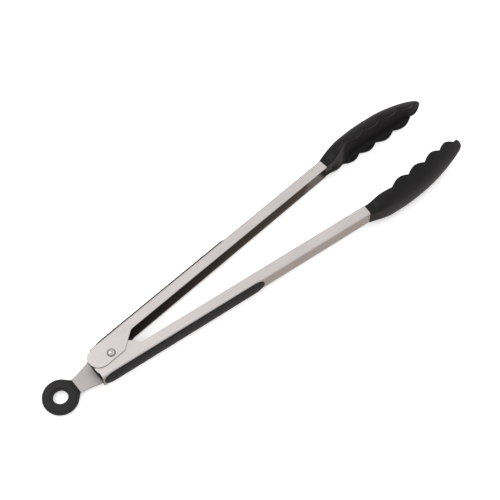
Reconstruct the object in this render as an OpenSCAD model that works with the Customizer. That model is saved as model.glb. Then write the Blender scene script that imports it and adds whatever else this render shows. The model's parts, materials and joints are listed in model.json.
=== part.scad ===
// Spring loaded kitchen tongs, lying on their side.
// Drawn about the pivot: X runs from the pivot to the tips, Y across the opening, Z along the
// pivot pin. place() then moves everything so that the origin is the middle of the underside.
// Each arm is drawn in its closed place, along X, and turned outwards by half the opening.

/* [Overall] */
// Pivot to the tip of the heads
reach = 289; // [270:1:300]
// Half the angle between the arms at rest, degrees
rest_angle = 4.5; // [3.5:0.1:5]
// Pivot to the back of the hang ring's centre
ring_reach = 41.6; // [41:0.1:44]

/* [Arms] */
// Sheet thickness of the arms
sheet_t = 0.8; // [0.7:0.05:0.9]
// Pivot line to the outer face of the web
web_y = 11.5; // [11:0.1:12.5]
// Pivot line to the open edges of the channel
edge_y = 4; // [3:0.1:4.5]
// Overall width of the outer channel at the pivot
outer_w = 16.6; // [16.2:0.1:18]
// Overall width of both channels where the heads begin
front_w = 13.6; // [13:0.1:14]
// Outside bend radius of the sheet
bend_r = 1.6; // [1.2:0.1:2]
// Pivot to the end of the channel
channel_end = 200; // [190:1:205]

/* [Hinge] */
// Radius of the pivot pin
pin_r = 2; // [1.8:0.1:2.4]
// Radius of the pin's domed heads
rivet_r = 2.9; // [2.7:0.1:4]
// Height of the pin's domed heads
rivet_h = 1.5; // [1:0.1:1.6]
// Wire radius of the spring
wire_r = 0.75; // [0.6:0.05:0.8]
// Mean radius of the spring's coil
coil_r = 4.3; // [4.2:0.1:5]
// Full turns in the coil, plus the half turn between its legs
coil_turns = 4; // [3:1:4]

/* [Grips] */
// How far a grip stands proud of the web
grip_t = 1.1; // [1:0.1:1.6]
// Pivot to the front end of the grips
grip_end = 112; // [100:1:120]

/* [Heads] */
// Half width of a head at its widest
head_w = 17; // [15:0.5:18]
// Length of one scallop along the rim
scallop_pitch = 15.2; // [14:0.1:16]
// Depth of a scallop
scallop_depth = 2.6; // [1:0.1:3]
// Wall of a head at its sides
head_wall = 2.4; // [2.2:0.1:3]

/* [Lock tab] */
// Thickness of the tab
tab_t = 1; // [0.8:0.1:1.2]
// Half width of the tab where it leaves the arms
tab_w = 9; // [8.5:0.1:9.2]
// Half width of the tab at the ring
tab_neck = 5.3; // [4.5:0.1:6]
// Outer radius of the hang ring
ring_r = 12.2; // [11:0.1:13]
// Radius of the hang hole
hang_r = 5; // [4:0.1:5.2]
// Thickness of the ring
ring_t = 6; // [5:0.1:6.4]

/* [Hidden] */
$fn = 48;

steel = [0.80, 0.77, 0.75];
tab_steel = [0.70, 0.68, 0.66];
spring_steel = [0.62, 0.62, 0.62];
soft_black = [0.13, 0.13, 0.14];
nylon_grey = [0.30, 0.30, 0.31];

// Gaps between pieces
ear_gap = 0.15;
bore_gap = 0.05;
slot_gap = 0.25;

// The inner channel nests inside the outer one at the pivot
inner_w = outer_w - 2 * sheet_t - 2 * ear_gap;
inside_z = inner_w / 2 - sheet_t;
web_in = web_y - sheet_t;

// The origin is the middle of the underside of the whole box
underside = -head_w;
rear_x = -(ring_reach + ring_r);
tip_x = reach * cos(rest_angle);
middle_x = (rear_x + tip_x) / 2;
module place() translate([-middle_x, 0, -underside]) children();

// An arm's own frame turned to its rest place: side 1 is the upper arm, -1 the lower one
module on_arm(side) {
    place()
        if (side > 0) rotate([0, 0, rest_angle]) children();
        else mirror([0, 1, 0]) rotate([0, 0, rest_angle]) children();
}

function eased(t) = t * t * (3 - 2 * t);
function arc(cx, cy, r, from, to, steps) =
    [for (i = [0 : steps]) let (a = from + (to - from) * i / steps) [cx + r * cos(a), cy + r * sin(a)]];

// Straight lines between listed [x, value] stops
function between(stops, x, i = 0) =
    x <= stops[0][0] ? stops[0][1]
    : i >= len(stops) - 1 ? stops[len(stops) - 1][1]
    : x <= stops[i + 1][0]
        ? stops[i][1] + (stops[i + 1][1] - stops[i][1]) * (x - stops[i][0]) / (stops[i + 1][0] - stops[i][0])
        : between(stops, x, i + 1);

// ---------- Arms ----------

// Half of a channel's cross-section, with the bend, as [y, z] points from the middle of the web
module half_section(width, depth_to) {
    half = width / 2;
    in_r = bend_r - sheet_t;
    polygon(concat(
        [[web_y, -0.5]],
        arc(web_y - bend_r, half - bend_r, bend_r, 0, 90, 8),
        [[depth_to, half], [depth_to, half - sheet_t]],
        arc(web_y - bend_r, half - bend_r, in_r, 90, 0, 8),
        [[web_in, -0.5]]
    ));
}

// A channel whose two flanges close in slowly from the pivot to the head
module channel(width) {
    lean = atan((width - front_w) / 2 / channel_end);
    for (s = [0, 1]) mirror([0, 0, s])
        rotate([0, lean, 0])
            translate([-20, 0, 0]) rotate([90, 0, 90]) linear_extrude(channel_end + 40)
                half_section(width, -6);
}

// Side outline with the ears. The web stops at web_rear, and ears is the outline from there round
// the ears, along their lower edge and up to the channel's open edge.
module side_outline(web_rear, ears) {
    polygon(concat([[channel_end, edge_y], [channel_end, web_y + 1], [web_rear, web_y + 1]], ears));
}
below_bend = web_y - bend_r - 0.1;
outer_ears = concat(
    [[-9, below_bend]], arc(-10.3, below_bend - 4.9, 4.9, 90, 180, 8), arc(-6.8, 3.9, 8.5, 188, 262, 8),
    arc(7, -2.6, 2, 270, 315, 4), [[19.5, edge_y - 0.4], [21.5, edge_y]]
);
inner_ears = concat(
    [[-13.4, below_bend]], arc(-6.4, 3.9, 8, 150, 262, 14),
    arc(9, -2.2, 2, 270, 315, 4), [[17.6, 0.8], [19.6, edge_y]]
);

// The strip that runs on from the web, steps inwards and holds the head
tang_y = 8.2;
tang_end = channel_end + 14;
tang_w = 8;
module tang() {
    translate([0, 0, -tang_w / 2]) linear_extrude(tang_w) polygon([
        [channel_end - 12, web_in + 0.2], [channel_end - 6, web_in + 0.2], [channel_end - 1.5, tang_y],
        [tang_end, tang_y], [tang_end, tang_y + sheet_t], [channel_end - 1, tang_y + sheet_t],
        [channel_end - 5.5, web_in + 0.6], [channel_end - 12, web_in + 0.6]
    ]);
}

tang_rivet_x = channel_end + 8;
tang_rivet_r = 1.5;
peg_xs = [4, 50, 96];
peg_r = 1.6;
module arm(width, web_rear, ears) {
    difference() {
        union() {
            intersection() {
                channel(width);
                translate([0, 0, -15]) linear_extrude(30) side_outline(web_rear, ears);
            }
            tang();
        }
        translate([0, 0, -20]) cylinder(r = pin_r + bore_gap, h = 40);
        for (x = peg_xs) translate([x, 0, 0]) rotate([-90, 0, 0]) cylinder(r = peg_r, h = 20);
        translate([tang_rivet_x, 0, 0]) rotate([-90, 0, 0]) cylinder(r = tang_rivet_r, h = 20);
    }
}
module upper_arm() { color(steel) on_arm(1) arm(outer_w, -9, outer_ears); }
module lower_arm() { color(steel) on_arm(-1) arm(inner_w, -13.4, inner_ears); }

// ---------- Hinge ----------

module dome(r, h) {
    sphere_r = (r * r + h * h) / (2 * h);
    intersection() {
        translate([0, 0, h - sphere_r]) sphere(r = sphere_r);
        cylinder(r = r, h = h);
    }
}
head_gap = 0.1;
module pivot_rivet() {
    top = outer_w / 2 + head_gap;
    color(steel) place() {
        translate([0, 0, -top - 0.01]) cylinder(r = pin_r, h = 2 * top + 0.02);
        for (s = [0, 1]) mirror([0, 0, s]) translate([0, 0, top]) dome(rivet_r, rivet_h);
    }
}

// The tab lies just below the middle of the pin
tab_z = -4.35;
bush_r = 2.7;
bush_low = tab_z + tab_t + 0.2;
bush_high = inside_z - 0.2;
module spacer_bush() {
    color(spring_steel) place() difference() {
        translate([0, 0, bush_low]) cylinder(r = bush_r, h = bush_high - bush_low);
        translate([0, 0, bush_low - 1]) cylinder(r = pin_r + 0.02, h = bush_high - bush_low + 2);
    }
}

// The wire comes in along the upper leg, winds round the bush and leaves along the lower leg
leg_x = 36;
leg_y = (web_in + leg_x * sin(rest_angle)) / cos(rest_angle) - wire_r - 0.2;
coil_pitch = 2 * wire_r + 0.1;
coil_h = coil_pitch * (coil_turns + 0.5);
coil_mid = (bush_low + bush_high) / 2;
coil_steps = 16;
leg_steps = 4;
wire_path = concat(
    [for (i = [0 : leg_steps - 1]) let (t = 1 - i / leg_steps)
        [leg_x * t, coil_r + (leg_y - coil_r) * t, coil_mid + coil_h / 2]],
    [for (i = [0 : coil_steps * (coil_turns + 0.5)]) let (a = 90 + i * 360 / coil_steps)
        [coil_r * cos(a), coil_r * sin(a),
         coil_mid + coil_h / 2 - coil_pitch * i / coil_steps]],
    [for (i = [1 : leg_steps]) let (t = i / leg_steps)
        [leg_x * t, -coil_r - (leg_y - coil_r) * t, coil_mid - coil_h / 2]]
);
function unit(v) = v / norm(v);
module tube(path, r, sides) {
    n = len(path);
    rings = [for (i = [0 : n - 1])
        let (
            along = unit(path[min(i + 1, n - 1)] - path[max(i - 1, 0)]),
            across = unit(cross([0, 0, 1], along)),
            upward = cross(along, across)
        )
        [for (k = [0 : sides - 1]) let (a = 360 * k / sides)
            path[i] + r * cos(a) * across + r * sin(a) * upward]];
    points = [for (ring = rings) for (p = ring) p];
    faces = concat(
        [[for (k = [0 : sides - 1]) k]],
        [for (i = [0 : n - 2]) for (k = [0 : sides - 1])
            [i * sides + k, (i + 1) * sides + k,
             (i + 1) * sides + (k + 1) % sides, i * sides + (k + 1) % sides]],
        [[for (k = [sides - 1 : -1 : 0]) (n - 1) * sides + k]]
    );
    polyhedron(points, faces, convexity = 10);
}
module torsion_spring() { color(spring_steel) place() tube(wire_path, wire_r, 8); }

// ---------- Grips ----------

// Seen from outside, a long strip with round ends, moulded through three holes in the web
grip_margin = 0.5;
module grip(rear, rear_half, front_half) {
    peg_head_r = 2.6;
    outline = concat(
        arc(rear + rear_half, 0, rear_half, 90, 270, 16),
        arc(grip_end - front_half, 0, front_half, 270, 450, 16)
    );
    translate([0, web_y, 0]) rotate([90, 0, 0]) translate([0, 0, -grip_t])
        linear_extrude(grip_t) polygon(outline);
    for (x = peg_xs) translate([x, 0, 0]) rotate([-90, 0, 0]) {
        translate([0, 0, web_in]) cylinder(r = peg_r, h = sheet_t + 0.1);
        translate([0, 0, web_in - 0.7]) cylinder(r = peg_head_r, h = 0.7);
    }
}
module upper_grip() { color(soft_black) on_arm(1) grip(-7.5, outer_w / 2 - grip_margin, 7.1); }
module lower_grip() { color(soft_black) on_arm(-1) grip(-12.7, inner_w / 2 - grip_margin, 6.9); }

// ---------- Heads ----------

// Stops along a head drawn from drawn_start, where it meets the channel, to drawn_tip
drawn_start = 200;
drawn_tip = 289;
drawn_half = 17;
back_stops = [
    [200, 11.8], [203, 12.7], [206, 13.5], [214, 14.8], [222, 15.3], [230, 15.3], [240, 14.6],
    [250, 13.3], [258, 11.8], [266, 9.8], [274, 7.5], [281, 5], [286, 2.9], [288.2, 1.2], [289, -0.6]
];
width_stops = [
    [200, 6.9], [205, 7.6], [209, 9.6], [213, 12.6], [218, 15.4], [224, 16.8], [230, 17],
    [252, 17], [260, 16.4], [268, 14.8], [276, 12.2], [282, 9.4], [286, 6.2], [288, 3.6], [289, 1.2]
];
rim_stops = [
    [200, 4.3], [207, 4.6], [220.8, 6.5], [237, 5], [251.5, 3.5], [266, 1.1], [282, -1.2], [289, -1.7]
];
bluntness_stops = [[200, 9], [206, 6], [214, 3.2], [224, 2.4], [289, 2.1]];
first_cusp = 220.8;
first_lobe = 18;
last_cusp = first_cusp + 4 * scallop_pitch;
// The lobes at the two ends are shallower than the four between them
first_share = 0.3;
last_share = 0.4;
function scale_x(x) = channel_end + (x - drawn_start) * (reach - channel_end) / (drawn_tip - drawn_start);
function back_of(x) = between(back_stops, x);
function half_of(x) = between(width_stops, x) * head_w / drawn_half;
function to_tip(x, length) = min(1, (drawn_tip - x) / length);
function lobe(x) =
    x < first_cusp - first_lobe ? 0
    : x < first_cusp ? first_share * sin(180 * (first_cusp - x) / first_lobe)
    : x < last_cusp ? abs(sin(180 * (x - first_cusp) / scallop_pitch))
    : last_share * sin(180 * (x - last_cusp) / (drawn_tip - last_cusp));
function rim_of(x) = between(rim_stops, x) - scallop_depth * lobe(x);
// The walls are drawn down to the line that the scallops touch, and end at the rim
function foot_of(x) =
    between(rim_stops, x) - scallop_depth * eased(min(1, (x - drawn_start) / 12)) * to_tip(x, 6);
function power_of(x) = 2 / between(bluntness_stops, x);
// The hollow's floor is shallow under the tang and deepens forwards
shallow_floor = 6.5;
back_wall = 3.6;
function floor_rise(x) =
    max(
        (back_of(x) - back_wall - foot_of(x)) * eased(min(1, max(0, (x - 213) / 16))) * to_tip(x, 12),
        x < 225 ? (shallow_floor - foot_of(x)) * eased(min(1, max(0, (x - 203) / 6))) : 0
    );

section_steps = 16;
function curve(v, p) = sign(v) * pow(abs(v), p);
// One arch of the section at x, drawn in from the outside by side_in and back_in, down to low
function arch(x, side_in, back_in, low) =
    let (
        foot = foot_of(x), p = power_of(x), half = max(0.3, half_of(x) - side_in),
        rise = max(0.05, back_of(x) - back_in - foot),
        last = acos(pow(min(0.9, max(0, low - foot) / rise), 1 / p))
    )
    [for (k = [0 : section_steps]) let (a = last * (2 * k / section_steps - 1))
        [scale_x(x), foot + rise * curve(cos(a), p), half * curve(sin(a), p)]];

// Loops of an outer arch and, back again, an inner arch, skinned from end to end. The ends are
// closed by strips between the two arches.
module skin(loops) {
    n = len(loops);
    m = len(loops[0]);
    last = (n - 1) * m;
    points = [for (l = loops) for (p = l) p];
    faces = concat(
        [for (k = [0 : m / 2 - 2]) [k, k + 1, m - 2 - k, m - 1 - k]],
        [for (i = [0 : n - 2]) for (k = [0 : m - 1]) let (q = (k + 1) % m)
            each [[i * m + q, i * m + k, (i + 1) * m + q], [(i + 1) * m + q, i * m + k, (i + 1) * m + k]]],
        [for (k = [0 : m / 2 - 2]) [last + m - 1 - k, last + m - 2 - k, last + k + 1, last + k]]
    );
    polyhedron(points, faces, convexity = 10);
}
function backwards(list) = [for (i = [len(list) - 1 : -1 : 0]) list[i]];

head_xs = concat([200, 203, 206, 209, 212, 215, 218],
    [for (i = [0 : 28]) first_cusp + i * (last_cusp - first_cusp) / 28], [283.3, 285.2, 287.2, 288.2, 288.85]);
// The inner edge of a rim stands back from its outer edge
rim_round = 0.3;
function head_loop(x) =
    let (
        low = rim_of(x), foot = foot_of(x), p = power_of(x),
        rise = floor_rise(x),
        inner_half = max(0.2, half_of(x) - head_wall)
    )
    concat(arch(x, 0, 0, low),
        backwards([for (k = [0 : section_steps]) let (a = 180 * k / section_steps - 90)
            [scale_x(x), max(low + rim_round + 0.1 * curve(cos(a), p), foot + rise * curve(cos(a), p)),
             inner_half * curve(sin(a), p)]]));

// The stiff insert runs inside the wall, and its block clasps the tang
insert_xs = [for (x = [210.6 : 4.1 : 277]) x];
insert_skin = 1.1;
insert_t = 0.8;
insert_back_t = 1.3;
insert_above_rim = 2.4;
function insert_loop(x) =
    let (low = rim_of(x) + insert_above_rim)
    concat(
        arch(x, insert_skin, insert_skin + 0.1, low),
        backwards(arch(x, insert_skin + insert_t, insert_skin + 0.1 + insert_back_t, low + rim_round))
    );
block_x = [channel_end + 2, channel_end + 16];
block_low = 7;
block_half = 5;
module insert_body() {
    skin([for (x = insert_xs) insert_loop(x)]);
    translate([0, 0, -block_half]) linear_extrude(2 * block_half) polygon([
        [block_x[0], block_low], [block_x[1], block_low], [block_x[1], 13.2],
        [block_x[0] + 7.5, 12.4], [block_x[0], 10.3]
    ]);
}
rivet_reach = 3.6;
module tang_space() {
    translate([channel_end - 1, tang_y, -tang_w / 2]) cube([tang_end - channel_end + 1, sheet_t, tang_w]);
}
module rivet_space() {
    translate([tang_rivet_x, block_low, 0]) rotate([-90, 0, 0])
        cylinder(r = tang_rivet_r, h = rivet_reach);
}
module head() {
    difference() {
        skin([for (x = head_xs) head_loop(x)]);
        insert_body();
        tang_space();
    }
}
module head_insert() {
    difference() {
        insert_body();
        tang_space();
        rivet_space();
    }
}
module upper_head() { color(soft_black) on_arm(1) head(); }
module lower_head() { color(soft_black) on_arm(-1) head(); }
module upper_head_insert() { color(nylon_grey) on_arm(1) head_insert(); }
module lower_head_insert() { color(nylon_grey) on_arm(-1) head_insert(); }
module upper_tang_rivet() { color(spring_steel) on_arm(1) rivet_space(); }
module lower_tang_rivet() { color(spring_steel) on_arm(-1) rivet_space(); }

// ---------- Lock tab ----------

// The tab slides on the pin between its slot's ends: out to lock, in to let the arms open wide
tab_front = 13;
shoulder_half = 9.4;
shoulder_r = 3;
flank_start = -14.3;
slot_rear = -9.4;
slot_front = 5.8;
ring_inner = -(ring_reach - ring_r);
module tab_outline() {
    // Each flank is hollow between the arms' ends and the ring
    hollow_steps = 8;
    flank = [for (i = [0 : hollow_steps]) let (t = i / hollow_steps)
        [flank_start + (ring_inner - 1 - flank_start) * t,
         tab_w + (tab_neck - tab_w) * t - 0.3 * sin(180 * t)]];
    shoulder = arc(tab_front - shoulder_r, shoulder_half - shoulder_r, shoulder_r, 0, 90, 6);
    top = concat(shoulder, [[-7, shoulder_half]], flank, [[-ring_reach, tab_neck]]);
    polygon(concat(top, backwards([for (p = top) [p[0], -p[1]]])));
}
module lock_tab() {
    color(tab_steel) place() translate([0, 0, tab_z]) difference() {
        linear_extrude(tab_t) tab_outline();
        for (x = [slot_rear + pin_r, slot_front - pin_r])
            translate([x, 0, -1]) cylinder(r = pin_r + slot_gap, h = tab_t + 2);
        translate([slot_rear + pin_r, -pin_r - slot_gap, -1])
            cube([slot_front - slot_rear - 2 * pin_r, 2 * (pin_r + slot_gap), tab_t + 2]);
        translate([-ring_reach, 0, -1]) cylinder(r = hang_r + 2, h = tab_t + 2);
    }
}

// Round bodied ring, with straight walls in its hole, moulded over the tab's end
ring_z = tab_z + tab_t / 2;
straight_hole = 1.8;
module ring_profile() {
    corner = (ring_t - straight_hole) / 2;
    polygon(concat(
        [[hang_r, -straight_hole / 2]],
        arc(hang_r + corner, straight_hole / 2, corner, 180, 90, 8),
        arc(ring_r - ring_t / 2, 0, ring_t / 2, 90, -90, 16),
        arc(hang_r + corner, -straight_hole / 2, corner, -90, -180, 8)
    ));
}
// The collar's sides touch the ring's round outline
collar_x = 12.3;
collar_half = 5;
collar_t = 3.6;
touch_angle = atan(collar_half / collar_x) + acos(ring_r / norm([collar_x, collar_half]));
module ring_body() {
    touch = ring_r * [cos(touch_angle), sin(touch_angle)];
    translate([-ring_reach, 0, ring_z]) {
        rotate_extrude($fn = 96) ring_profile();
        translate([0, 0, -collar_t / 2]) linear_extrude(collar_t) polygon([
            [ring_r - ring_t, 0], touch, [collar_x, collar_half], [collar_x, -collar_half],
            [touch[0], -touch[1]]
        ]);
    }
}
module hang_ring() {
    color(soft_black) place() difference() {
        ring_body();
        translate([0, 0, tab_z]) difference() {
            linear_extrude(tab_t) tab_outline();
            translate([-ring_reach, 0, -1]) cylinder(r = hang_r + 2, h = tab_t + 2);
        }
    }
}

upper_arm();
lower_arm();
pivot_rivet();
spacer_bush();
torsion_spring();
upper_grip();
lower_grip();
upper_head();
lower_head();
upper_head_insert();
lower_head_insert();
upper_tang_rivet();
lower_tang_rivet();
lock_tab();
hang_ring();
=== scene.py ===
"""Looks for the locking kitchen tongs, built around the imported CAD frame.

Pieces are drawn in millimetres in the same two frames as the CAD part: about the pivot, or in an
arm's own frame (X along the arm, Y outwards through its web, Z along the pin) turned to its rest
place. place_fixed() and place_arm() turn both into the row frame in metres.
"""

import json
import math

import bmesh
import bpy
from mathutils import Matrix, Vector


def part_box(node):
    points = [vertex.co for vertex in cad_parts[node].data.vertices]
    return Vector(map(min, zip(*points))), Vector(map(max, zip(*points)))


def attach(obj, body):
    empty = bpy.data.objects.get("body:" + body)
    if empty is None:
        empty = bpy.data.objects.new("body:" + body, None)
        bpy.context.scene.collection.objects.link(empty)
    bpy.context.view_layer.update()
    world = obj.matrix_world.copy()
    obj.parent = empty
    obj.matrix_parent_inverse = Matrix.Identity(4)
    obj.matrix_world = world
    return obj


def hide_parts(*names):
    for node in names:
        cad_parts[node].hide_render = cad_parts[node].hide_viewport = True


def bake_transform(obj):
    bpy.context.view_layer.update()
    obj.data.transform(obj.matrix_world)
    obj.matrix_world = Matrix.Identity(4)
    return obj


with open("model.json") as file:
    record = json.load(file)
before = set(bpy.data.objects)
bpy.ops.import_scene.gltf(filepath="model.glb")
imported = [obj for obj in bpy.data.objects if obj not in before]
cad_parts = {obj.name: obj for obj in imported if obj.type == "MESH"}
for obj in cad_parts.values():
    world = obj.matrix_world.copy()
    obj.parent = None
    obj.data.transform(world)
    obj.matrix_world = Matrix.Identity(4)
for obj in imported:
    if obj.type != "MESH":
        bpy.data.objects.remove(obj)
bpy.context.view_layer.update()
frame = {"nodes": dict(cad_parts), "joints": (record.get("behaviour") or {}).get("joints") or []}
nodes = frame["nodes"]

# ---------- Driving sizes, in millimetres and degrees ----------

MM = 0.001
PIVOT = Vector(frame["joints"][0]["pos_m"])
REST_ANGLE = 4.5
REACH = 289.0
HEAD_START = 200.0

# Arms
OUTER_W = 16.6
INNER_W = 14.7
FRONT_W = 13.6
SHEET_T = 0.8
WEB_OUT = 11.5
EDGE_Y = 4.0

# Hinge
PIN_R = 2.0
BUSH_BORE_R = PIN_R + 0.02
RIVET_R = 2.9
RIVET_H = 1.5
HEAD_GAP = 0.1
RIVET_TOP = OUTER_W / 2 + HEAD_GAP
BUSH_R = 2.7
BUSH_Z = (-3.15, 6.35)
WIRE_R = 0.75
COIL_R = 4.3
COIL_TURNS = 4.5
COIL_PITCH = 2 * WIRE_R + 0.1
COIL_MID = 1.6
LEG_X = 36.0
LEG_Y = 12.6

# Grips, as rear end, half width there, half width in front
GRIP_MARGIN = 0.5
GRIPS = {
    "upper": (-7.5, OUTER_W / 2 - GRIP_MARGIN, 7.1),
    "lower": (-12.7, INNER_W / 2 - GRIP_MARGIN, 6.9),
}
GRIP_END = 112.0
GRIP_EDGE_T = 0.4
GRIP_MIDDLE_T = 1.1
GRIP_CORNER = 0.25
PEG_XS = (4, 50, 96)
PEG_R = 1.6
PEG_HEAD_R = 2.6
PEG_HEAD_T = 0.7

# Hang ring
RING_X = -41.6
RING_Z = -3.85
RING_R = 12.2
HANG_R = 5.0
RING_T = 6.0
STRAIGHT_HOLE = 1.8
COLLAR_X = 12.3
COLLAR_HALF = 5.0

# Heads
CUSP_START = 220.8
CUSP_PITCH = 15.2
CUSP_END = CUSP_START + 4 * CUSP_PITCH
FIRST_LOBE = 18.0
FIRST_SHARE = 0.3
LAST_SHARE = 0.4
SCALLOP = 2.6
# The hollow is shallow under the tang, then deepens
SHALLOW_FLOOR = 6.5
SHALLOW_START, SHALLOW_RUN, SHALLOW_END = 203, 6, 225
DEEP_START, DEEP_RUN = 213, 16
FOOT_RUN = 12
TIP_RUN, HOLLOW_TIP_RUN = 6, 12
HEAD_WALL = 2.4
BACK_WALL = 3.6
RIM_EDGE = 0.6
SECTION_STEPS = 56
EDGE_STEPS = 4
BACK_STOPS = [
    (200, 11.8), (203, 12.7), (206, 13.5), (214, 14.8), (222, 15.3), (230, 15.3), (240, 14.6),
    (250, 13.3), (258, 11.8), (266, 9.8), (274, 7.5), (281, 5), (286, 2.9), (288.2, 1.2), (289, -0.6),
]
WIDTH_STOPS = [
    (200, 6.9), (205, 7.6), (209, 9.6), (213, 12.6), (218, 15.4), (224, 16.8), (230, 17),
    (252, 17), (260, 16.4), (268, 14.8), (276, 12.2), (282, 9.4), (286, 6.2), (288, 3.6), (289, 1.2),
]
RIM_STOPS = [
    (200, 4.3), (207, 4.6), (220.8, 6.5), (237, 5), (251.5, 3.5), (266, 1.1), (282, -1.2), (289, -1.7),
]
BLUNT_STOPS = [(200, 9), (206, 6), (214, 3.2), (224, 2.4), (289, 2.1)]


# ---------- Places ----------

def place_fixed():
    """About the pivot, in millimetres, to the row frame."""
    return Matrix.Translation(PIVOT) @ Matrix.Scale(MM, 4)


def place_arm(side):
    """An arm's own frame to the row frame: side 1 is the upper arm, -1 the lower one."""
    turn = Matrix.Rotation(math.radians(REST_ANGLE), 4, "Z")
    return Matrix.Translation(PIVOT) @ Matrix.Diagonal((1, side, 1, 1)) @ turn @ Matrix.Scale(MM, 4)


# ---------- Colours and the places of shade ----------

STEEL = (0.84, 0.785, 0.765)
# The tint of the painted shade inside the arms' channels
CHANNEL_SHADE = (0.84, 0.72, 0.65)
BLACK = (0.0065, 0.0057, 0.006)

# A face deeper than this share of the sheet's thickness is inside a channel
FLANGE_SHARE = 0.775
# Where the painted shade inside a channel fades out before the head, on the pivot's line
SHADE_FADE_START = HEAD_START - 24
SHADE_FADE_END = HEAD_START - 17
SHADE_SLANT = 1.6
# The tab is in shade from here towards the pin
TAB_SHADE_X = -14.0
TAB_SHADE_RUN = 0.8
# The rivet's domes are in full shade up to the first height above their foot, in none past the second
DOME_SHADE = (0.1, 0.95)


# ---------- Node trees ----------

def add_node(mat, kind, **inputs):
    node = mat.node_tree.nodes.new(kind)
    for key, value in inputs.items():
        node.inputs[key.replace("_", " ")].default_value = value
    return node


def join(mat, out_socket, in_socket):
    mat.node_tree.links.new(out_socket, in_socket)


def ramp(mat, source, low, high, low_colour, high_colour):
    node = mat.node_tree.nodes.new("ShaderNodeValToRGB")
    first, second = node.color_ramp.elements
    first.position, second.position = low, high
    first.color, second.color = low_colour, high_colour
    join(mat, source, node.inputs["Fac"])
    return node.outputs["Color"]


def spread(mat, source, low, high, start=0.0, end=1.0):
    """A value that goes from start to end, remapped to low...high."""
    node = mat.node_tree.nodes.new("ShaderNodeMapRange")
    for name, value in (("From Min", start), ("From Max", end), ("To Min", low), ("To Max", high)):
        node.inputs[name].default_value = value
    join(mat, source, node.inputs["Value"])
    return node.outputs["Result"]


def object_axes(mat):
    """X, Y and Z in the row frame, at rest."""
    where = mat.node_tree.nodes.new("ShaderNodeTexCoord")
    axes = mat.node_tree.nodes.new("ShaderNodeSeparateXYZ")
    join(mat, where.outputs["Object"], axes.inputs["Vector"])
    return axes.outputs


def grain(mat, scale, detail, turn=0.0):
    """Noise in the row frame, with scale given per metre along X, Y and Z."""
    where = mat.node_tree.nodes.new("ShaderNodeTexCoord")
    mapping = mat.node_tree.nodes.new("ShaderNodeMapping")
    mapping.inputs["Rotation"].default_value = (0, 0, math.radians(turn))
    mapping.inputs["Scale"].default_value = scale
    join(mat, where.outputs["Object"], mapping.inputs["Vector"])
    noise = add_node(mat, "ShaderNodeTexNoise", Scale=1.0, Detail=detail, Roughness=0.6)
    join(mat, mapping.outputs["Vector"], noise.inputs["Vector"])
    return noise.outputs["Fac"]


def combine(mat, operation, *values):
    """A Math node on sockets or numbers."""
    node = mat.node_tree.nodes.new("ShaderNodeMath")
    node.operation = operation
    for socket, value in zip(node.inputs, values):
        if isinstance(value, (int, float)):
            socket.default_value = value
        else:
            join(mat, value, socket)
    return node.outputs[0]


def blend_colours(mat, kind, share, first, second):
    """Two colour sockets or colours blended by a share, which is a socket or a number."""
    node = mat.node_tree.nodes.new("ShaderNodeMix")
    node.data_type = "RGBA"
    node.blend_type = kind
    factor, colour_a, colour_b = node.inputs[0], node.inputs[6], node.inputs[7]
    for socket, value in ((factor, share), (colour_a, first), (colour_b, second)):
        if isinstance(value, (int, float, tuple)):
            socket.default_value = value
        else:
            join(mat, value, socket)
    return node.outputs[2]


def shade(colour, factor):
    return tuple(c * factor for c in colour) + (1.0,)


def new_material(name):
    mat = bpy.data.materials.new(name)
    mat.use_nodes = True
    return mat, mat.node_tree.nodes["Principled BSDF"]


def inside_of_channel(mat, side, half_rear, half_front):
    """1 on the faces inside an arm's channel, which get painted shade and more roughness and end in a
    slant before the head, and how far along the arm, 0 to 1."""
    turn = Matrix.Rotation(math.radians(-REST_ANGLE * side), 3, "Z")
    where = mat.node_tree.nodes.new("ShaderNodeTexCoord")
    mapping = mat.node_tree.nodes.new("ShaderNodeMapping")
    mapping.inputs["Location"].default_value = -(turn @ PIVOT)
    mapping.inputs["Rotation"].default_value = (0, 0, math.radians(-REST_ANGLE * side))
    join(mat, where.outputs["Object"], mapping.inputs["Vector"])
    axes = mat.node_tree.nodes.new("ShaderNodeSeparateXYZ")
    join(mat, mapping.outputs["Vector"], axes.inputs["Vector"])
    along, out, up = axes.outputs
    widening = (half_front - half_rear) / HEAD_START
    half = combine(mat, "MULTIPLY_ADD", along, widening, (half_rear - FLANGE_SHARE * SHEET_T) * MM)
    between_flanges = combine(mat, "LESS_THAN", combine(mat, "ABSOLUTE", up), half)
    out = combine(mat, "MULTIPLY", out, side)
    under_web = combine(mat, "LESS_THAN", out, (WEB_OUT - SHEET_T / 2) * MM)
    # The unshaded end starts at the open edge and widens towards the head
    slanted = combine(mat, "MULTIPLY_ADD", out, -SHADE_SLANT,
                      combine(mat, "ADD", along, SHADE_SLANT * EDGE_Y * MM))
    shade_blend = mat.node_tree.nodes.new("ShaderNodeMapRange")
    shade_blend.interpolation_type = "SMOOTHSTEP"
    shade_blend.inputs["From Min"].default_value = SHADE_FADE_START * MM
    shade_blend.inputs["From Max"].default_value = SHADE_FADE_END * MM
    shade_blend.inputs["To Min"].default_value = 1.0
    shade_blend.inputs["To Max"].default_value = 0.0
    join(mat, slanted, shade_blend.inputs["Value"])
    inside = combine(mat, "MULTIPLY", between_flanges, under_web)
    mask = combine(mat, "MULTIPLY", inside, shade_blend.outputs["Result"])
    return mask, combine(mat, "MULTIPLY", along, 1 / (HEAD_START * MM))


def under_the_arms(mat):
    """1 on the part of the tab that runs under the arms' ends, in deep shade."""
    edge = PIVOT.x + TAB_SHADE_X * MM
    return spread(mat, object_axes(mat)[0], 0, 1, edge - TAB_SHADE_RUN * MM, edge)


def foot_of_dome(mat):
    """1 where the rivet's domes meet the arms, fading out up the domes."""
    height = combine(mat, "ABSOLUTE", combine(mat, "SUBTRACT", object_axes(mat)[2], PIVOT.z))
    full, none = DOME_SHADE
    return spread(mat, height, 0, 1, (RIVET_TOP + none) * MM, (RIVET_TOP + full) * MM)


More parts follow.
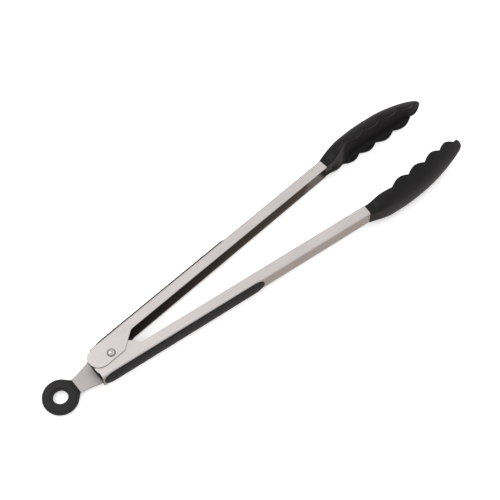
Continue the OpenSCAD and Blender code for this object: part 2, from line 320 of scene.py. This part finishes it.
def brushed_steel(name, colour, rough, turn, channel=None, shaded=None, shade_factor=1.0):
    """Satin sheet steel with fine lines along the arm and faint smudges from handling.

    channel is an arm's side and its half widths, for the painted shade and the extra roughness on the
    faces inside it. shaded is a function that gives a mask of a place in painted shade, and shade_factor is
    how dark it is.
    """
    mat, shader = new_material(name)
    shader.inputs["Metallic"].default_value = 1.0
    lines = grain(mat, (30, 1500, 1500), 4, turn)
    smudge = grain(mat, (35, 60, 60), 3, turn)
    lined = ramp(mat, lines, 0.3, 0.7, shade(colour, 0.93), shade(colour, 1.0))
    smudged = ramp(mat, smudge, 0.35, 0.65, shade((1, 1, 1), 0.95), shade((1, 1, 1), 1.0))
    tint = blend_colours(mat, "MULTIPLY", 1.0, lined, smudged)
    roughness = combine(mat, "ADD", spread(mat, lines, rough - 0.06, rough + 0.06),
                        spread(mat, smudge, -0.05, 0.05))
    if channel:
        mask, along = inside_of_channel(mat, *channel)
        # Painted shade inside the channel, darkest at the pin and paler towards the head
        shade_blend = blend_colours(mat, "MIX", along, shade(CHANNEL_SHADE, 0.10), shade(CHANNEL_SHADE, 0.5))
        tint = blend_colours(mat, "MIX", mask, tint, shade_blend)
        roughness = combine(mat, "MULTIPLY_ADD", mask, 0.15, roughness)
    if shaded:
        tint = blend_colours(mat, "MIX", shaded(mat), tint, shade(colour, shade_factor))
    join(mat, tint, shader.inputs["Base Color"])
    join(mat, roughness, shader.inputs["Roughness"])
    bump = add_node(mat, "ShaderNodeBump", Strength=0.25, Distance=0.00003)
    join(mat, lines, bump.inputs["Height"])
    join(mat, bump.outputs["Normal"], shader.inputs["Normal"])
    return mat


def moulded_black(name, colour, rough, grain_size, depth, gloss=0.16, sheen=0.0):
    """Black silicone, rubber or plastic with a fine moulded grain and a little dust in it."""
    mat, shader = new_material(name)
    shader.inputs["Specular IOR Level"].default_value = gloss
    if sheen:
        shader.inputs["Sheen Weight"].default_value = sheen
        shader.inputs["Sheen Roughness"].default_value = 0.6
    per_metre = 1 / (grain_size * MM)
    fine = grain(mat, (per_metre, per_metre, per_metre), 2)
    cloud = grain(mat, (45, 45, 45), 3)
    join(mat, ramp(mat, cloud, 0.3, 0.75, shade(colour, 0.8), shade(colour, 1.25)),
         shader.inputs["Base Color"])
    join(mat, spread(mat, cloud, rough - 0.07, rough + 0.07), shader.inputs["Roughness"])
    bump = add_node(mat, "ShaderNodeBump", Strength=0.35, Distance=depth * MM)
    join(mat, fine, bump.inputs["Height"])
    join(mat, bump.outputs["Normal"], shader.inputs["Normal"])
    return mat


UPPER_STEEL = brushed_steel("upper_arm_steel", STEEL, 0.38, -REST_ANGLE, (1, OUTER_W / 2, FRONT_W / 2))
LOWER_STEEL = brushed_steel("lower_arm_steel", STEEL, 0.38, REST_ANGLE, (-1, INNER_W / 2, FRONT_W / 2))
TAB_STEEL = brushed_steel(
    "tab_steel", (0.58, 0.535, 0.525), 0.42, 0, shaded=under_the_arms, shade_factor=0.14)
RIVET_STEEL = brushed_steel(
    "rivet_steel", (0.74, 0.69, 0.65), 0.17, 0, shaded=foot_of_dome, shade_factor=0.18)
WIRE_STEEL = brushed_steel("wire_steel", (0.5, 0.48, 0.47), 0.3, 0)
GRIP_BLACK = moulded_black("grip_rubber", BLACK, 0.55, 0.35, 0.03, sheen=0.04)
HEAD_BLACK = moulded_black("head_silicone", (0.0045, 0.0038, 0.0041), 0.4, 0.5, 0.02, 0.21, 0.03)
RING_BLACK = moulded_black("ring_rubber", (0.0125, 0.0115, 0.0118), 0.5, 0.4, 0.025, 0.2, 0.04)
INSERT_GREY = moulded_black("insert_nylon", (0.045, 0.045, 0.045), 0.6, 0.6, 0.02)


# ---------- Mesh helpers ----------

def finish_piece(name, mesh, place, material):
    """Turns a mesh in millimetres into a smooth shaded piece in the row frame."""
    mesh.transform(place)
    work = bmesh.new()
    work.from_mesh(mesh)
    bmesh.ops.remove_doubles(work, verts=work.verts, dist=1e-7)
    bmesh.ops.recalc_face_normals(work, faces=work.faces)
    for face in work.faces:
        face.smooth = True
    sharp = math.radians(40)
    for edge in work.edges:
        if len(edge.link_faces) == 2 and edge.calc_face_angle(0) > sharp:
            edge.smooth = False
    work.to_mesh(mesh)
    work.free()
    mesh.materials.append(material)
    piece = bpy.data.objects.new(name, mesh)
    bpy.context.scene.collection.objects.link(piece)
    return piece


def skinned(loops, closed_path=False):
    """A mesh through closed loops of equally many points, with its two ends closed."""
    count = len(loops[0])
    points = [p for loop in loops for p in loop]
    faces = []
    steps = len(loops) if closed_path else len(loops) - 1
    for i in range(steps):
        here, there = i * count, (i + 1) % len(loops) * count
        for k in range(count):
            q = (k + 1) % count
            faces.append((here + k, here + q, there + q, there + k))
    if not closed_path:
        faces.append(tuple(range(count)))
        faces.append(tuple(range(len(points) - count, len(points))))
    mesh = bpy.data.meshes.new("skin")
    mesh.from_pydata(points, [], faces)
    return mesh


def arc(cx, cy, r, start, end, steps):
    angles = [math.radians(start + (end - start) * i / steps) for i in range(steps + 1)]
    return [(cx + r * math.cos(a), cy + r * math.sin(a)) for a in angles]


# The smallest radius of a turned profile, so that no faces fold up on the axis
ON_AXIS = 0.0001


def turned(profile, segments):
    """A closed (radius, height) profile turned about Z."""
    loops = []
    for i in range(segments):
        a = 2 * math.pi * i / segments
        loops.append([(r * math.cos(a), r * math.sin(a), h) for r, h in profile])
    return skinned(loops, closed_path=True)


def eased(t):
    t = min(1.0, max(0.0, t))
    return t * t * (3 - 2 * t)


def smooth_between(stops, x):
    """A curve through (x, value) stops that never swings past them."""
    if x <= stops[0][0]:
        return stops[0][1]
    if x >= stops[-1][0]:
        return stops[-1][1]
    gaps = [b[0] - a[0] for a, b in zip(stops, stops[1:])]
    rises = [(b[1] - a[1]) / g for a, b, g in zip(stops, stops[1:], gaps)]
    slopes = [rises[0]]
    for left, right in zip(rises, rises[1:]):
        slopes.append(0.0 if left * right <= 0 else 2 * left * right / (left + right))
    slopes.append(rises[-1])
    i = max(k for k in range(len(gaps)) if stops[k][0] <= x)
    t = (x - stops[i][0]) / gaps[i]
    a, b = stops[i][1], stops[i + 1][1]
    return (
        a * (1 + 2 * t) * (1 - t) ** 2 + b * t * t * (3 - 2 * t)
        + gaps[i] * (slopes[i] * t * (1 - t) ** 2 - slopes[i + 1] * t * t * (1 - t))
    )


# ---------- Heads ----------

def to_tip(x, length):
    return min(1.0, (REACH - x) / length)


def lobe(x):
    """How far a scallop stands out at x, as a share of its depth."""
    if x < CUSP_START - FIRST_LOBE:
        return 0.0
    if x < CUSP_START:
        return FIRST_SHARE * math.sin(math.pi * (CUSP_START - x) / FIRST_LOBE)
    if x < CUSP_END:
        return abs(math.sin(math.pi * (x - CUSP_START) / CUSP_PITCH))
    return LAST_SHARE * math.sin(math.pi * (x - CUSP_END) / (REACH - CUSP_END))


def curved(value, power):
    return math.copysign(abs(value) ** power, value)


def head_section(x):
    """One closed loop around the head's wall at x: over the outside, round a rim, back inside."""
    line = smooth_between(RIM_STOPS, x)
    low = line - SCALLOP * lobe(x)
    foot = line - SCALLOP * eased((x - HEAD_START) / FOOT_RUN) * to_tip(x, TIP_RUN)
    back = smooth_between(BACK_STOPS, x)
    half = smooth_between(WIDTH_STOPS, x)
    power = 2 / smooth_between(BLUNT_STOPS, x)
    inner_half = max(0.15, half - HEAD_WALL)
    inner_rise = (back - BACK_WALL - foot) * eased((x - DEEP_START) / DEEP_RUN) * to_tip(x, HOLLOW_TIP_RUN)
    if x < SHALLOW_END:
        shallow_rise = (SHALLOW_FLOOR - foot) * eased((x - SHALLOW_START) / SHALLOW_RUN)
        inner_rise = max(inner_rise, shallow_rise)
    rise = back - foot
    edge = min(RIM_EDGE, (half - inner_half) * 0.4, (back - low) * 0.25)
    last = math.acos(min(0.9, max(0, low + edge - foot) / rise) ** (1 / power))
    rim_half = half * math.sin(last) ** power
    inner_half = min(inner_half, rim_half - 2 * edge)
    floor = low + edge
    outer, inner = [], []
    for k in range(SECTION_STEPS + 1):
        a = last * (2 * k / SECTION_STEPS - 1)
        outer.append((x, foot + rise * curved(math.cos(a), power), half * curved(math.sin(a), power)))
        a = math.pi * (0.5 - k / SECTION_STEPS)
        height = max(floor + 0.02 * math.cos(a), foot + inner_rise * curved(math.cos(a), power))
        inner.append((x, height, inner_half * curved(math.sin(a), power)))
    corner = [math.pi / 2 * k / EDGE_STEPS for k in range(1, EDGE_STEPS + 1)]
    outside = [(edge * (1 - math.sin(a)), rim_half - edge * (1 - math.cos(a))) for a in corner]
    inside = [(edge * (1 - math.sin(a)), inner_half + edge * (1 - math.cos(a))) for a in corner]
    inside.reverse()
    down = [(x, low + h, z) for h, z in outside + inside]
    up = [(x, low + h, -z) for h, z in reversed(outside + inside)]
    return outer + down + inner + up


def head_stations():
    """Even along the sleeve, then close together at the cusps and the tip."""
    sleeve_step, steps, last_x = 0.75, 20, REACH - 0.02
    sleeve_steps = math.ceil((CUSP_START - HEAD_START) / sleeve_step)
    xs = [HEAD_START + sleeve_step * i for i in range(sleeve_steps + 1)]
    for scallop in range(4):
        start = CUSP_START + scallop * CUSP_PITCH
        xs += [start + CUSP_PITCH * (1 - math.cos(math.pi * i / steps)) / 2 for i in range(steps)]
    xs += [CUSP_END + (last_x - CUSP_END) * math.sin(math.pi / 2 * i / steps) for i in range(steps + 1)]
    return sorted(set(round(x, 4) for x in xs))


def make_head(name, side):
    mesh = skinned([head_section(x) for x in head_stations()])
    piece = finish_piece(name + "_silicone", mesh, place_arm(side), HEAD_BLACK)
    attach(piece, name.replace("head", "arm_body"))
    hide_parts(name)


# ---------- Hinge ----------

def make_rivet():
    sphere_r = (RIVET_R ** 2 + RIVET_H ** 2) / (2 * RIVET_H)
    reach = math.degrees(math.asin(RIVET_R / sphere_r))
    dome = arc(0, RIVET_TOP + RIVET_H - sphere_r, sphere_r, 90, 90 - reach, 14)
    upper = [(max(r, ON_AXIS), h) for r, h in dome] + [(RIVET_R, RIVET_TOP), (PIN_R, RIVET_TOP)]
    profile = upper + [(r, -h) for r, h in reversed(upper)]
    mesh = turned(profile, 64)
    piece = finish_piece("domed_rivet", mesh, place_fixed(), RIVET_STEEL)
    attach(piece, "pivot")
    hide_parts("pivot_rivet")


def make_bush():
    low, high = BUSH_Z
    edge = 0.25
    profile = [
        (BUSH_BORE_R, low), (BUSH_R - edge, low), (BUSH_R, low + edge),
        (BUSH_R, high - edge), (BUSH_R - edge, high), (BUSH_BORE_R, high),
    ]
    piece = finish_piece("bush_tube", turned(profile, 48), place_fixed(), RIVET_STEEL)
    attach(piece, "pivot")
    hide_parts("spacer_bush")


def wire_tube(path, radius, sides=12):
    """A round wire along a path, with rounded ends."""
    points = [Vector(p) for p in path]
    loops = []
    last = len(points) - 1
    for i, point in enumerate(points):
        along = (points[min(i + 1, last)] - points[max(i - 1, 0)]).normalized()
        across = Vector((0, 0, 1)).cross(along).normalized()
        up = along.cross(across)
        ring = [point + radius * (math.cos(a) * across + math.sin(a) * up)
                for a in (2 * math.pi * k / sides for k in range(sides))]
        if i in (0, last):
            end = -along if i == 0 else along
            caps = [[point + radius * s * end + (p - point) * math.sqrt(1 - s * s) for p in ring]
                    for s in (0.5, 0.85, 0.99)]
            loops += [*reversed(caps), ring] if i == 0 else [ring, *caps]
        else:
            loops.append(ring)
    return skinned([[tuple(p) for p in loop] for loop in loops])


def make_spring():
    """Each half turns about the pin in the middle and reaches out towards its own arm at the leg's end."""
    coil_h = COIL_PITCH * COIL_TURNS
    steps, leg_steps = 40, 10
    for name, side, body in (("upper", 1, "upper_arm_body"), ("lower", -1, "lower_arm_body")):
        leg_z = COIL_MID + side * coil_h / 2
        path = []
        for i in range(leg_steps):
            t = 1 - i / leg_steps
            path.append((LEG_X * t, side * (COIL_R + (LEG_Y - COIL_R) * t), leg_z))
        turns = int(steps * COIL_TURNS / 2)
        for i in range(turns + 1):
            a = side * math.radians(90 + i * 360 / steps)
            path.append((COIL_R * math.cos(a), COIL_R * math.sin(a),
                         leg_z - side * COIL_PITCH * i / steps))
        mesh = wire_tube(path, WIRE_R)
        piece = finish_piece(f"spring_wire_{name}", mesh, place_fixed(), WIRE_STEEL)
        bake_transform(piece)
        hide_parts("torsion_spring")


# ---------- Grips ----------

def grip_half(x, rear, rear_half, front_half):
    """Half the strip's width at x, between its two round ends."""
    rear_middle, front_middle = rear + rear_half, GRIP_END - front_half
    if x < rear_middle:
        return math.sqrt(max(0, rear_half ** 2 - (rear_middle - x) ** 2))
    if x > front_middle:
        return math.sqrt(max(0, front_half ** 2 - (x - front_middle) ** 2))
    return rear_half + (front_half - rear_half) * (x - rear_middle) / (front_middle - rear_middle)


def grip_stations(rear, rear_half, front_half):
    """Close together round the two ends and evenly between them."""
    end_steps, middle_steps = 24, 30
    bends = [1 - math.cos(math.pi / 2 * i / end_steps) for i in range(1, end_steps + 1)]
    start, end = rear + rear_half, GRIP_END - front_half
    middle = [start + (end - start) * i / middle_steps for i in range(1, middle_steps)]
    return (
        [rear + rear_half * b for b in bends] + middle
        + [GRIP_END - front_half * b for b in reversed(bends)]
    )


def grip_loop(x, half, rear_half):
    """The strip's section: a crown, a rounded edge each side and a flat underside."""
    across, corner_steps = 24, 4
    corner = min(GRIP_CORNER, half * 0.5)
    crown = (GRIP_MIDDLE_T - GRIP_EDGE_T) * eased(half / rear_half)
    edge_y = WEB_OUT + GRIP_EDGE_T
    top = []
    for k in range(across + 1):
        t = 2 * k / across - 1
        top.append((x, edge_y + crown * (1 - t * t), t * (half - corner)))
    right = []
    for k in range(1, corner_steps + 1):
        a = math.pi / 2 * k / corner_steps
        right.append((x, edge_y - corner * (1 - math.cos(a)), half - corner * (1 - math.sin(a))))
    left = [(x, y, -z) for x, y, z in reversed(right)]
    return top + right + [(x, WEB_OUT, half), (x, WEB_OUT, -half)] + left


def make_pegs():
    """Three pegs that hold a grip from inside the web."""
    web_in = WEB_OUT - SHEET_T
    edge = 0.2
    profile = [
        (ON_AXIS, web_in - PEG_HEAD_T), (PEG_HEAD_R - edge, web_in - PEG_HEAD_T),
        (PEG_HEAD_R, web_in - PEG_HEAD_T + edge), (PEG_HEAD_R, web_in), (PEG_R, web_in),
        (PEG_R, WEB_OUT), (ON_AXIS, WEB_OUT),
    ]
    pegs = bmesh.new()
    for x in PEG_XS:
        peg = turned(profile, 32)
        peg.transform(Matrix.Translation((x, 0, 0)) @ Matrix.Rotation(math.radians(-90), 4, "X"))
        pegs.from_mesh(peg)
        bpy.data.meshes.remove(peg)
    mesh = bpy.data.meshes.new("pegs")
    pegs.to_mesh(mesh)
    pegs.free()
    return mesh


def make_grip(name, side):
    """A strip that is thin at its edge and crowned in the middle, with pegs through the web."""
    rear, rear_half, front_half = GRIPS[name]
    loops = [grip_loop(x, grip_half(x, rear, rear_half, front_half), rear_half)
             for x in grip_stations(rear, rear_half, front_half)]
    for part, mesh in (("rubber", skinned(loops)), ("pegs", make_pegs())):
        piece = finish_piece(f"{name}_grip_{part}", mesh, place_arm(side), GRIP_BLACK)
        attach(piece, f"{name}_arm_body")
        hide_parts(f"{name}_grip")


# ---------- Ring ----------

def make_ring():
    """A round bodied ring that swells into a flat fronted collar where the tab goes in."""
    corner = math.atan2(COLLAR_HALF, COLLAR_X)
    touch = corner + math.acos(RING_R / math.hypot(COLLAR_X, COLLAR_HALF))
    inner_edge = (RING_T - STRAIGHT_HOLE) / 2
    hole_x, hole_z = HANG_R + inner_edge, STRAIGHT_HOLE / 2
    segments = 144
    loops = []
    for i in range(segments):
        a = 2 * math.pi * i / segments
        off = abs((a + math.pi) % (2 * math.pi) - math.pi)
        reach = RING_R
        if off < corner:
            reach = COLLAR_X / math.cos(off)
        elif off < touch:
            reach = RING_R / math.cos(touch - off)
        profile = (
            arc(hole_x, hole_z, inner_edge, 180, 90, 8)
            + arc(reach - RING_T / 2, 0, RING_T / 2, 90, -90, 24)
            + arc(hole_x, -hole_z, inner_edge, 270, 180, 8)
        )
        loops.append([(RING_X + r * math.cos(a), r * math.sin(a), RING_Z + h) for r, h in profile])
    mesh = skinned(loops, closed_path=True)
    piece = finish_piece("ring_rubber_body", mesh, place_fixed(), RING_BLACK)
    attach(piece, "tab_body")
    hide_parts("hang_ring")


# ---------- CAD nodes that stay ----------

def dress(node, material, edge):
    """Gives a CAD node its material and lightly broken edges that catch the light."""
    piece = nodes[node]
    piece.data.materials.clear()
    piece.data.materials.append(material)
    for polygon in piece.data.polygons:
        polygon.use_smooth = True
    weld = piece.modifiers.new("weld", "WELD")
    weld.merge_threshold = 2e-6
    bevel = piece.modifiers.new("edges", "BEVEL")
    bevel.width = edge * MM
    bevel.segments = 2
    bevel.limit_method = "ANGLE"
    bevel.angle_limit = math.radians(35)
    bevel.use_clamp_overlap = True
    normals = piece.modifiers.new("normals", "WEIGHTED_NORMAL")
    normals.keep_sharp = False


# ---------- Stage ----------

# From the back of a head to where it is widest and touches the table
WIDEST_X = 31.0


def make_floor():
    """A lit table. The heads' rims and the rivet's foot touch it, so it leans a little."""
    head_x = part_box("upper_head")[0].x + WIDEST_X * MM
    rivet_low, rivet_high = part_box("pivot_rivet")
    rise = rivet_low.z / (head_x - (rivet_low.x + rivet_high.x) / 2)
    size = 8.0
    mesh = bpy.data.meshes.new("floor")
    mesh.from_pydata(
        [(x, y, -0.0001 - (x - head_x) * rise) for x, y in
         ((-size, -size), (size, -size), (size, size), (-size, size))],
        [], [(0, 1, 2, 3)],
    )
    mat, shader = new_material("pale_floor")
    shader.inputs["Roughness"].default_value = 0.7
    shader.inputs["Specular IOR Level"].default_value = 0.2
    cloud = grain(mat, (3, 3, 3), 2)
    pale = (0.93, 0.93, 0.93)
    join(mat, ramp(mat, cloud, 0.3, 0.7, shade(pale, 0.99), shade(pale, 1.01)), shader.inputs["Base Color"])
    shader.inputs["Emission Color"].default_value = (1, 1, 1, 1)
    shader.inputs["Emission Strength"].default_value = 0.28
    mesh.materials.append(mat)
    floor = bpy.data.objects.new("floor", mesh)
    bpy.context.scene.collection.objects.link(floor)
    floor.visible_glossy = False


def make_camera():
    target = Vector((0, 0, 0.017))
    azimuth, elevation, distance = math.radians(-128.78), math.radians(63.09), 0.8402
    away = Vector((
        math.cos(elevation) * math.cos(azimuth),
        math.cos(elevation) * math.sin(azimuth),
        math.sin(elevation),
    ))
    data = bpy.data.cameras.new("camera")
    data.sensor_width = 36
    data.lens = 89.35
    data.shift_x = -0.006
    data.shift_y = 0.0138
    data.clip_start = 0.01
    data.clip_end = 50
    camera = bpy.data.objects.new("camera", data)
    camera.location = target + distance * away
    camera.rotation_euler = away.to_track_quat("Z", "Y").to_euler()
    bpy.context.scene.collection.objects.link(camera)
    bpy.context.scene.camera = camera


def add_softbox(name, place, size, power, in_gloss):
    data = bpy.data.lights.new(name, "AREA")
    data.shape = "SQUARE"
    data.size = size
    data.energy = power
    light = bpy.data.objects.new(name, data)
    light.location = place
    light.rotation_euler = Vector(place).to_track_quat("Z", "Y").to_euler()
    light.visible_glossy = in_gloss
    bpy.context.scene.collection.objects.link(light)


def make_light():
    """A pale tent, dimmer and warmer towards the table, with a broad light over the tongs."""
    world = bpy.data.worlds.new("studio")
    world.use_nodes = True
    sky = world.node_tree.nodes["Background"]
    where = world.node_tree.nodes.new("ShaderNodeTexCoord")
    axes = world.node_tree.nodes.new("ShaderNodeSeparateXYZ")
    join(world, where.outputs["Generated"], axes.inputs["Vector"])
    level = spread(world, axes.outputs["Z"], 0.43, 0.74, -0.5, 0.5)
    warm = ramp(world, level, 0.4, 0.65, (1.0, 0.9, 0.84, 1.0), (1.0, 1.0, 1.0, 1.0))
    join(world, warm, sky.inputs["Color"])
    join(world, level, sky.inputs["Strength"])
    bpy.context.scene.world = world
    add_softbox("overhead", (-0.3, -0.2, 1.8), 2.2, 32, False)
    add_softbox("key", (-0.6, 0.7, 1.5), 0.8, 4, True)
    bpy.context.scene.view_settings.view_transform = "Standard"


make_head("upper_head", 1)
make_head("lower_head", -1)
make_rivet()
make_bush()
make_spring()
make_grip("upper", 1)
make_grip("lower", -1)
make_ring()
dress("upper_arm", UPPER_STEEL, 0.14)
dress("lower_arm", LOWER_STEEL, 0.14)
dress("lock_tab", TAB_STEEL, 0.16)
dress("upper_head_insert", INSERT_GREY, 0.05)
dress("lower_head_insert", INSERT_GREY, 0.05)
dress("upper_tang_rivet", RIVET_STEEL, 0.1)
dress("lower_tang_rivet", RIVET_STEEL, 0.1)
make_floor()
make_camera()
make_light()
